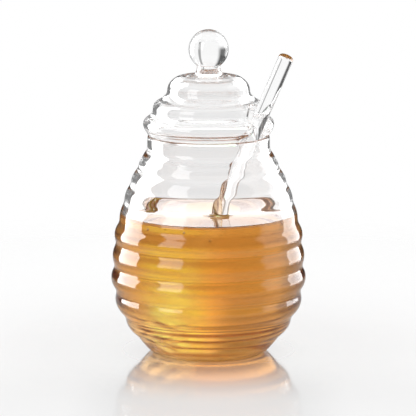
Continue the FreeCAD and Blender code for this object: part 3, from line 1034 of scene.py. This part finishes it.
# Painted shade on the floor: greyest in front of the pot and in the middle under it; it darkens the floor's
# mirroring too.
FLOOR_SHADE_FRONT = (0.02, 0.12)  # painted shade: it gets greyer from here to there in front
FLOOR_SHADE_SIDE = (0.02, 0.075)  # and the painted shade is less from here to there at the sides
FLOOR_PAINTED_SHADE = (-0.16, -0.06)
FLOOR_ROUGHNESS = 0.1
FLOOR_MIRROR_AWAY = (0.04, 0.13, 1.0, 0.1)  # it mirrors less from here to there
FLOOR_MIRROR_GRAZING = (0.6, 0.82, 0.16, 0.78)  # and more where the view grazes it


def add_math(tree, operation, first, second=None, third=None):
    node = add(tree, "ShaderNodeMath", operation=operation)
    for socket, value in zip(node.inputs, (first, second, third)):
        if value is None:
            continue
        if isinstance(value, (int, float)):
            socket.default_value = value
        else:
            link(value, socket)
    return node.outputs[0]


def step_up(tree, value, low, high, first=0.0, last=1.0):
    """First where the value is below low, last where it is above high, smooth between."""
    node = add(tree, "ShaderNodeMapRange", interpolation_type="SMOOTHSTEP")
    link(value, node.inputs["Value"])
    for name, number in (("From Min", low), ("From Max", high), ("To Min", first), ("To Max", last)):
        node.inputs[name].default_value = number
    return node.outputs["Result"]


def window(tree, value, low, high, soft):
    """1 from low to high and 0 outside, smooth over a width beyond both."""
    rising = step_up(tree, value, low - soft, low)
    falling = step_up(tree, value, high, high + soft)
    return add_math(tree, "SUBTRACT", rising, falling)


def patch(tree, sky, azimuths, elevations, soft, level):
    """A panel of light, or a dark one, by direction in degrees."""
    wide = window(tree, sky[0], *azimuths, soft)
    tall = window(tree, sky[1], *elevations, soft)
    shape = add_math(tree, "MULTIPLY", wide, tall)
    return add_math(tree, "MULTIPLY", shape, level)


# Rooms: a plain level, and patches added to it: azimuths, elevations, softness, level.
# Azimuth 0 is straight behind the pot, at +Y; positive is to the right, at +X.
THROUGH_SOLID = 1.0, [      # what rays meet through the knob, the rod or one wall
    ((-70, -30), (-3, 44), 13, -0.93),
    ((17, 21), (-22, 33), 2, -0.6),
]
THROUGH_WALLS = 0.9, [      # the same through two walls
    ((-56, -15), (-14, 8), 5, -0.8),
]
THROUGH_HONEY = 1.38, [     # and through the honey
    ((0, 20), (-4, 14), 9, 0.3),
    ((-44, -8), (14, 40), 8, -0.65),
    ((-2, 40), (30, 50), 8, -0.6),
    ((-25, -12), (-6, 14), 8, -0.32),
    ((-66, -41), (-10, 10), 5, -0.8),
]
YELLOW_GLOW = ((9, 24), (-3, 12), 12, 0.65)  # a patch that adds green to the light there
MIRRORED_INSIDE = 0.3, [    # rays that were mirrored inside glass or on the honey
    ((-70, 70), (6, 30), 4, 2.1),
    ((-180, 180), (38, 91), 8, 0.9),
]
REFLECTED = 0.06, [         # what the outside mirrors
    ((-84, -46), (-25, 55), 2, 8.5),
    ((-146, -118), (4, 42), 3, 3.8),
    ((34, 66), (-20, 45), 3, 5.0),
    ((-180, 180), (60, 91), 15, 0.5),
    ((68, 104), (-20, 50), 10, 1.6),
]
ON_MATT = 1.1               # level that lights matt surfaces
PAST_ONE_WALL = 2.5         # surfaces crossed: between those of one wall and of two
PAST_TWO_WALLS = 4.5        # and of two walls and the honey in them
MIRRORED_ONCE = 0.5


def add_room(tree, sky, plain, patches):
    """A room of one level with patches of light or dark in it."""
    level = plain
    for settings in patches:
        level = add_math(tree, "ADD", level, patch(tree, sky, *settings))
    return level


def choose(tree, switch, otherwise, chosen):
    """One level where the switch is 0, another where it is 1."""
    change = add_math(tree, "SUBTRACT", chosen, otherwise)
    return add_math(tree, "MULTIPLY_ADD", switch, change, otherwise)


def add_world():
    world = bpy.data.worlds.new("studio")
    bpy.context.scene.world = world
    world.use_nodes = True
    tree = world.node_tree
    tree.nodes.clear()
    where = add(tree, "ShaderNodeTexCoord")
    parts = add(tree, "ShaderNodeSeparateXYZ")
    link(where.outputs["Generated"], parts.inputs["Vector"])
    azimuth = add_math(tree, "ARCTAN2", parts.outputs["X"], parts.outputs["Y"])
    elevation = add_math(tree, "ARCSINE", parts.outputs["Z"])
    sky = [add_math(tree, "DEGREES", angle) for angle in (azimuth, elevation)]

    rays = add(tree, "ShaderNodeLightPath")
    surfaces = rays.outputs["Transmission Depth"]
    in_walls = add_math(tree, "GREATER_THAN", surfaces, PAST_ONE_WALL)
    in_honey = add_math(tree, "GREATER_THAN", surfaces, PAST_TWO_WALLS)
    mirrored = add_math(tree, "GREATER_THAN", rays.outputs["Glossy Depth"], MIRRORED_ONCE)
    through = add_room(tree, sky, *THROUGH_SOLID)
    through = choose(tree, in_walls, through, add_room(tree, sky, *THROUGH_WALLS))
    through = choose(tree, in_honey, through, add_room(tree, sky, *THROUGH_HONEY))
    through = choose(tree, mirrored, through, add_room(tree, sky, *MIRRORED_INSIDE))
    outside = choose(tree, rays.outputs["Is Singular Ray"], 1.0, add_room(tree, sky, *REFLECTED))
    level = choose(tree, rays.outputs["Is Diffuse Ray"], 1.0, ON_MATT)
    level = choose(tree, rays.outputs["Is Glossy Ray"], level, outside)
    level = choose(tree, rays.outputs["Is Transmission Ray"], level, through)

    straight = add_math(tree, "MULTIPLY", in_honey, add_math(tree, "SUBTRACT", 1.0, mirrored))
    glow = add_math(tree, "MULTIPLY", patch(tree, sky, *YELLOW_GLOW), straight)
    green = add_math(tree, "MULTIPLY_ADD", glow, rays.outputs["Is Transmission Ray"], 1.0)
    colour = add(tree, "ShaderNodeCombineColor")
    colour.inputs["Red"].default_value = 1.0
    colour.inputs["Blue"].default_value = 1.0
    background = add(tree, "ShaderNodeBackground")
    output = add(tree, "ShaderNodeOutputWorld")
    link(green, colour.inputs["Green"])
    link(colour.outputs["Color"], background.inputs["Color"])
    link(level, background.inputs["Strength"])
    link(background.outputs["Background"], output.inputs["Surface"])


def grey(tree, level):
    """The colour whose three parts are one level."""
    colour = add(tree, "ShaderNodeCombineColor")
    for channel in ("Red", "Green", "Blue"):
        link(level, colour.inputs[channel])
    return colour.outputs["Color"]


def mixed(tree, share, first, second):
    """Two shaders, the second by its share."""
    node = add(tree, "ShaderNodeMixShader")
    for socket, value in zip(node.inputs, (share, first, second)):
        link(value, socket)
    return node.outputs["Shader"]


def floor_material():
    """White, with painted shade that makes it greyer in front; it mirrors near the pot and fades out far
    from it.
    """
    material, tree = new_material("floor_white")
    where = add(tree, "ShaderNodeTexCoord")
    distance = add(tree, "ShaderNodeVectorMath", operation="LENGTH")
    link(where.outputs["Object"], distance.inputs[0])
    away = distance.outputs["Value"]
    place = add(tree, "ShaderNodeSeparateXYZ")
    link(where.outputs["Object"], place.inputs["Vector"])

    rays = add(tree, "ShaderNodeLightPath")
    white = choose(tree, rays.outputs["Is Camera Ray"], FLOOR_LIT, FLOOR_SEEN)
    white = choose(tree, rays.outputs["Is Glossy Ray"], white, FLOOR_MIRRORED)
    white = choose(tree, rays.outputs["Is Transmission Ray"], white, FLOOR_THROUGH_GLASS)
    # Painted shade: greyer in front of the pot, most in the middle under it; both the matt colour and the
    # mirroring take it.
    front = step_up(tree, add_math(tree, "MULTIPLY", place.outputs["Y"], -1.0), *FLOOR_SHADE_FRONT)
    squared = add_math(tree, "MULTIPLY", place.outputs["X"], place.outputs["X"])
    shade_amount = step_up(tree, squared, FLOOR_SHADE_SIDE[0] ** 2, FLOOR_SHADE_SIDE[1] ** 2, *FLOOR_PAINTED_SHADE)
    shade = add_math(tree, "MULTIPLY_ADD", front, shade_amount, 1.0)
    matt = add(tree, "ShaderNodeBsdfDiffuse")
    link(grey(tree, add_math(tree, "MULTIPLY", white, shade)), matt.inputs["Color"])

    gloss = add(tree, "ShaderNodeBsdfGlossy")
    gloss.inputs["Roughness"].default_value = FLOOR_ROUGHNESS
    link(grey(tree, shade), gloss.inputs["Color"])
    grazing = add(tree, "ShaderNodeLayerWeight").outputs["Facing"]
    near = step_up(tree, away, *FLOOR_MIRROR_AWAY)
    polish = step_up(tree, grazing, *FLOOR_MIRROR_GRAZING)
    mirror = add_math(tree, "MULTIPLY", near, polish)
    surface = mixed(tree, mirror, matt.outputs["BSDF"], gloss.outputs["BSDF"])

    clear = add(tree, "ShaderNodeBsdfTransparent")
    fading = step_up(tree, away, *FLOOR_FADE)
    output = add(tree, "ShaderNodeOutputMaterial")
    link(mixed(tree, fading, surface, clear.outputs["BSDF"]), output.inputs["Surface"])
    return material


def add_floor():
    mesh = bpy.data.meshes.new("floor")
    work = bmesh.new()
    bmesh.ops.create_circle(work, cap_ends=True, segments=FLOOR_SEGMENTS, radius=FLOOR_SIZE)
    work.to_mesh(mesh)
    work.free()
    mesh.materials.append(floor_material())
    floor = bpy.data.objects.new("floor", mesh)
    bpy.context.scene.collection.objects.link(floor)


def add_camera():
    camera = bpy.data.objects.new("camera", bpy.data.cameras.new("camera"))
    bpy.context.scene.collection.objects.link(camera)
    camera.location = CAMERA_PLACE
    toward = Vector(CAMERA_TARGET) - camera.location
    camera.rotation_euler = toward.to_track_quat("-Z", "Y").to_euler()
    camera.data.sensor_width = SENSOR_WIDTH
    camera.data.lens = SENSOR_WIDTH * toward.length / VIEW_WIDTH
    camera.data.clip_end = 50
    bpy.context.scene.camera = camera


def place_piece(item, node, slot, *materials):
    for material in materials:
        item.data.materials.append(material)
    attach(item, "root")
    if node:
        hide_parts(node)


add_camera()
add_world()
add_floor()

blown_glass = clear_material("blown_glass", GLASS_IOR, 0.0, BLOWN_RIPPLE)
wetted_glass = clear_material("wetted_glass", GLASS_IOR, WETTED_ROUGHNESS, BLOWN_RIPPLE, 0.0)
wetted_low = clear_material("wetted_glass_low", GLASS_IOR, WETTED_LOW_ROUGHNESS, BLOWN_RIPPLE, 0.0)
drawn_glass = clear_material("drawn_glass", GLASS_IOR, 0.0, DRAWN_RIPPLE)

place_piece(make_pot(), "pot", "pot_glass", blown_glass, wetted_glass, wetted_low)
place_piece(make_lid(), "lid", "lid_glass", blown_glass)
place_piece(make_dipper(), "dipper", "dipper_glass", drawn_glass)
place_piece(make_honey(), "honey", "honey", honey_material())
place_piece(make_film(), None, "honey", film_material())
place_piece(make_threads(), None, "honey", thread_material())

scene = bpy.context.scene
scene.view_settings.view_transform = "Standard"
scene.cycles.max_bounces = 160
scene.cycles.transmission_bounces = 60
scene.cycles.glossy_bounces = 120
scene.cycles.transparent_max_bounces = 16
